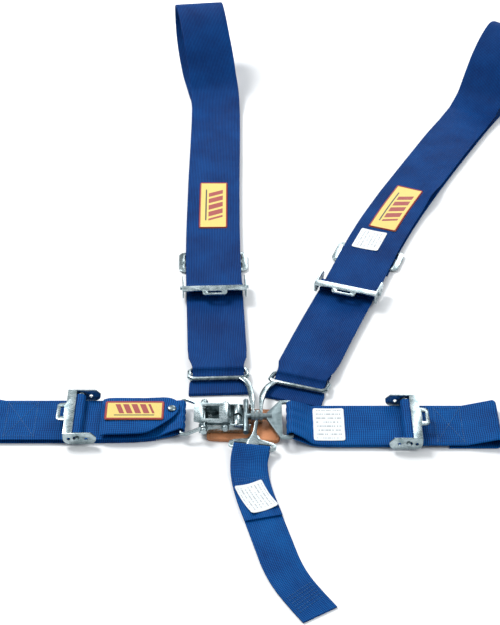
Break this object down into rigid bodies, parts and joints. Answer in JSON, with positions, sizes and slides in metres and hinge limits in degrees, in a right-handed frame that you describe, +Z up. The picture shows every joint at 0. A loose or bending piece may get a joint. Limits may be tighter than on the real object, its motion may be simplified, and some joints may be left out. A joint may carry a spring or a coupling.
{
  "type": "racing harness",
  "caption": "Racing harness with wide woven shoulder and lap belts, a narrow crotch belt, sliding adjusters and a lever latch that holds every belt on one tongue.",
  "frame": {"origin": "on the surface the harness lies on, on the flat underside of the leather pad behind the buckle", "axes": "+Z up from that surface, +Y towards the shoulder belts, +X towards the right lap belt in the view from the crotch end"},
  "size_m": [0.8091, 1.3298, 0.1095],
  "materials": {
    "webbing": "woven polyester webbing",
    "zinc": "bright zinc-plated steel",
    "leather": "tan leather",
    "patch": "embroidered yellow patch with a red border",
    "label": "white woven label"
  },
  "bodies": {
    "buckle_and_lap_belts": {"leather_pad": "leather", "latch_base": "zinc", "strap_pin": "zinc", "lever_pin": "zinc", "strap_wire": "zinc", "catch_roll": "zinc", "link_plate": "zinc", "left_lap_inner_strap": "webbing", "left_lap_outer_strap": "webbing", "right_lap_inner_strap": "webbing", "right_lap_outer_strap": "webbing", "right_lap_label": "label"},
    "lever": {"latch_lever": "zinc"},
    "left_lap_adjuster": {"left_lap_adjuster_frame": "zinc", "left_lap_adjuster_roll": "webbing", "left_lap_flap": "webbing", "left_lap_patch": "patch", "snap_fastener": "zinc"},
    "left_lap_lock_bar": {"left_lap_adjuster_lock_bar": "zinc"},
    "right_lap_adjuster": {"right_lap_adjuster_frame": "zinc", "right_lap_adjuster_roll": "webbing"},
    "right_lap_lock_bar": {"right_lap_adjuster_lock_bar": "zinc"},
    "left_shoulder_belt": {"left_shoulder_fitting": "zinc", "left_shoulder_lower_strap": "webbing", "left_shoulder_upper_strap": "webbing", "left_wrap_slide": "zinc", "left_shoulder_patch": "patch"},
    "left_shoulder_adjuster": {"left_shoulder_adjuster_frame": "zinc", "left_shoulder_adjuster_roll": "webbing"},
    "left_shoulder_lock_bar": {"left_shoulder_adjuster_lock_bar": "zinc"},
    "right_shoulder_belt": {"right_shoulder_fitting": "zinc", "right_shoulder_lower_strap": "webbing", "right_shoulder_upper_strap": "webbing", "right_wrap_slide": "zinc", "right_shoulder_patch": "patch", "right_shoulder_label": "label"},
    "right_shoulder_adjuster": {"right_shoulder_adjuster_frame": "zinc", "right_shoulder_adjuster_roll": "webbing"},
    "right_shoulder_lock_bar": {"right_shoulder_adjuster_lock_bar": "zinc"},
    "crotch_belt": {"crotch_fitting": "zinc", "crotch_strap": "webbing", "crotch_label": "label"}
  },
  "joints": [
    {"name": "lever_open", "type": "hinge", "parent": "buckle_and_lap_belts", "child": "lever", "pos_m": [-0.03, 0.009, 0.0145], "axis": [0, 1, 0], "range_deg": [0, 110]},
    {"name": "left_shoulder_swing", "type": "hinge", "parent": "buckle_and_lap_belts", "child": "left_shoulder_belt", "pos_m": [0.0035, 0.009, 0.0145], "axis": [1, 0, 0], "range_deg": [0, 60]},
    {"name": "right_shoulder_swing", "type": "hinge", "parent": "buckle_and_lap_belts", "child": "right_shoulder_belt", "pos_m": [0.0133, 0.009, 0.0145], "axis": [1, 0, 0], "range_deg": [0, 60]},
    {"name": "crotch_swing", "type": "hinge", "parent": "buckle_and_lap_belts", "child": "crotch_belt", "pos_m": [0.0084, 0.009, 0.0145], "axis": [-1, 0, 0], "range_deg": [0, 60]},
    {"name": "left_lap_slide", "type": "slide", "parent": "buckle_and_lap_belts", "child": "left_lap_adjuster", "axis": [-1, 0, 0], "range_m": [-0.004, 0.025]},
    {"name": "left_lap_lock", "type": "slide", "parent": "left_lap_adjuster", "child": "left_lap_lock_bar", "axis": [-1, 0, 0], "range_m": [0, 0.002]},
    {"name": "right_lap_slide", "type": "slide", "parent": "buckle_and_lap_belts", "child": "right_lap_adjuster", "axis": [1, 0, 0], "range_m": [-0.025, 0.015]},
    {"name": "right_lap_lock", "type": "slide", "parent": "right_lap_adjuster", "child": "right_lap_lock_bar", "axis": [1, 0, 0], "range_m": [0, 0.002]},
    {"name": "left_shoulder_slide", "type": "slide", "parent": "left_shoulder_belt", "child": "left_shoulder_adjuster", "axis": [-0.0448, 0.999, 0], "range_m": [-0.025, 0.025]},
    {"name": "left_shoulder_lock", "type": "slide", "parent": "left_shoulder_adjuster", "child": "left_shoulder_lock_bar", "axis": [-0.0448, 0.999, 0], "range_m": [-0.002, 0]},
    {"name": "right_shoulder_slide", "type": "slide", "parent": "right_shoulder_belt", "child": "right_shoulder_adjuster", "axis": [0.3438, 0.939, 0], "range_m": [-0.02, 0.02]},
    {"name": "right_shoulder_lock", "type": "slide", "parent": "right_shoulder_adjuster", "child": "right_shoulder_lock_bar", "axis": [0.3438, 0.939, 0], "range_m": [-0.002, 0]}
  ]
}
